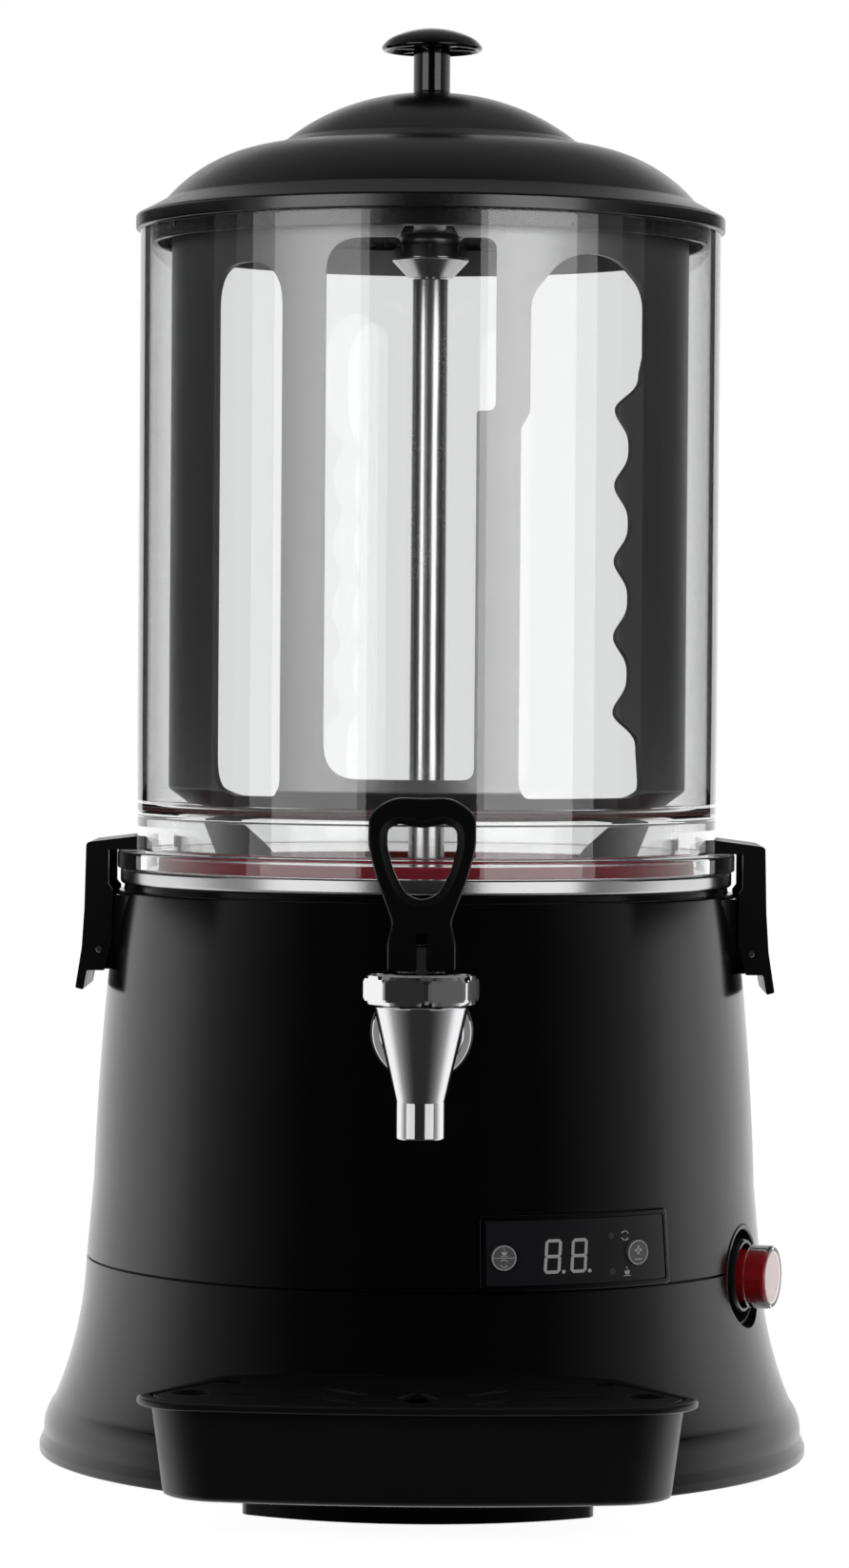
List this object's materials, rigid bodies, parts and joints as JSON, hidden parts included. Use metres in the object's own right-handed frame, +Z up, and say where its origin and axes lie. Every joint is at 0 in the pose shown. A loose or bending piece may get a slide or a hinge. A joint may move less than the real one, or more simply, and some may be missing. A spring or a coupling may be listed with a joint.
{
  "type": "hot drink dispenser",
  "caption": "Countertop hot chocolate dispenser with a clear cylindrical bowl, motor-driven stirrer, heated pan, front tap with loop handle, control panel and drip tray.",
  "frame": {"origin": "on the bowl's axis at the level of the surface that the machine stands on", "axes": "+Z up along the bowl's axis, the tap faces -Y, +X to the right of the tap as seen from the front"},
  "size_m": [0.3092, 0.3856, 0.5765],
  "materials": {
    "black_shell": "gloss",
    "clip_grey": "satin",
    "black_plastic": "satin",
    "dark_rubber": "matte",
    "clear_bowl": "clear",
    "red_silicone": "matte",
    "stainless": "brushed",
    "chrome": "polished",
    "stirrer_black": "satin",
    "zinc_steel": "satin",
    "motor_steel": "satin",
    "panel_gloss": "gloss",
    "key_silver": "satin",
    "display_glass": "gloss",
    "led_lens": "clear",
    "board_green": "satin",
    "red_button": "gloss",
    "clear_cap": "clear"
  },
  "bodies": {
    "housing": {"base_skirt": "black_shell", "base_plate": "zinc_steel", "rubber_foot_ring": "dark_rubber", "base_screws": "zinc_steel", "tray_support": "black_shell", "cord_gland": "black_plastic", "upper_body": "black_shell", "collar_ring": "stainless", "heating_pan": "stainless", "pan_outlet_tube": "stainless", "water_jacket": "stainless", "heating_element": "stainless", "thermostat": "black_plastic", "bowl": "clear_bowl", "bowl_gasket": "red_silicone", "column_tube": "stainless", "upper_bushing": "black_plastic", "lower_bushing": "black_plastic", "gearbox_case": "motor_steel", "motor_can": "zinc_steel", "motor_bracket": "zinc_steel", "clip_pin_right": "zinc_steel", "clip_pin_left": "zinc_steel", "clip_bracket_right": "black_shell", "clip_bracket_left": "black_shell", "clip_spring_right": "zinc_steel", "clip_spring_left": "zinc_steel", "tap_body": "chrome", "tap_escutcheon": "chrome", "tap_washer": "dark_rubber", "tap_shank_nut": "chrome", "tap_bonnet_nut": "chrome", "tap_spring": "stainless", "panel_frame": "black_plastic", "panel_face": "panel_gloss", "display_module": "display_glass", "indicator_leds": "led_lens", "control_board": "board_green", "power_board": "board_green", "switch_housing": "black_plastic", "switch_body": "black_plastic"},
    "lid": {"lid_shell": "black_shell", "lid_knob": "black_plastic", "lid_knob_screw": "zinc_steel"},
    "stirrer": {"stirrer_cage": "stirrer_black", "drive_shaft": "stainless", "hub_cone": "chrome", "hub_nut": "black_plastic"},
    "latch_right": {"clip_right": "clip_grey"},
    "latch_left": {"clip_left": "clip_grey"},
    "tap_valve": {"tap_stem": "stainless", "tap_seat_cup": "red_silicone"},
    "handle": {"tap_handle": "black_plastic", "handle_pivot_pin": "stainless"},
    "mode_key": {"mode_button": "key_silver"},
    "temp_key": {"temp_button": "key_silver"},
    "switch": {"switch_button": "red_button", "switch_cap": "clear_cap"},
    "tray": {"drip_tray": "black_plastic"},
    "grid": {"drip_grid": "black_plastic"}
  },
  "joints": [
    {"name": "lid_lift", "type": "slide", "parent": "housing", "child": "lid", "axis": [0, 0, 1], "range_m": [0, 0.12]},
    {"name": "stirrer_spin", "type": "hinge", "parent": "housing", "child": "stirrer", "pos_m": [0, 0, 0.4], "axis": [0, 0, 1], "continuous": true},
    {"name": "latch_right_swing", "type": "hinge", "parent": "housing", "child": "latch_right", "pos_m": [0.1302, 0, 0.2054], "axis": [0, 1, 0], "range_deg": [0, 11], "stiffness_Nm_per_rad": 0.4, "springref_deg": -17.19},
    {"name": "latch_left_swing", "type": "hinge", "parent": "housing", "child": "latch_left", "pos_m": [-0.1302, 0, 0.2054], "axis": [0, -1, 0], "range_deg": [0, 11], "stiffness_Nm_per_rad": 0.4, "springref_deg": -17.19},
    {"name": "valve_lift", "type": "slide", "parent": "housing", "child": "tap_valve", "axis": [0, 0, 1], "range_m": [0, 0.0036], "stiffness_N_per_m": 0.01, "springref_m": 28.002, "deforming": ["tap_spring"]},
    {"name": "handle_tilt", "type": "hinge", "parent": "tap_valve", "child": "handle", "pos_m": [0, -0.17, 0.2126], "axis": [1, 0, 0], "range_deg": [0, 50], "stiffness_Nm_per_rad": 0.12, "springref_deg": -17.19},
    {"name": "mode_key_press", "type": "slide", "parent": "housing", "child": "mode_key", "axis": [-0.23, 0.9732, 0], "range_m": [0, 0.0008], "stiffness_N_per_m": 600, "springref_m": -0.001},
    {"name": "temp_key_press", "type": "slide", "parent": "housing", "child": "temp_key", "axis": [-0.6025, 0.7981, 0], "range_m": [0, 0.0008], "stiffness_N_per_m": 600, "springref_m": -0.001},
    {"name": "switch_press", "type": "slide", "parent": "housing", "child": "switch", "axis": [-0.9397, 0.342, 0], "range_m": [0, 0.003], "stiffness_N_per_m": 400, "springref_m": -0.002},
    {"name": "tray_pull", "type": "slide", "parent": "housing", "child": "tray", "axis": [0, -1, 0], "range_m": [0, 0.09]},
    {"name": "grid_lift", "type": "slide", "parent": "tray", "child": "grid", "axis": [0, 0, 1], "range_m": [0, 0.05]}
  ],
  "couplings": [
    {"joint": "valve_lift", "follows": "handle_tilt", "m_per_rad": 0.004}
  ]
}
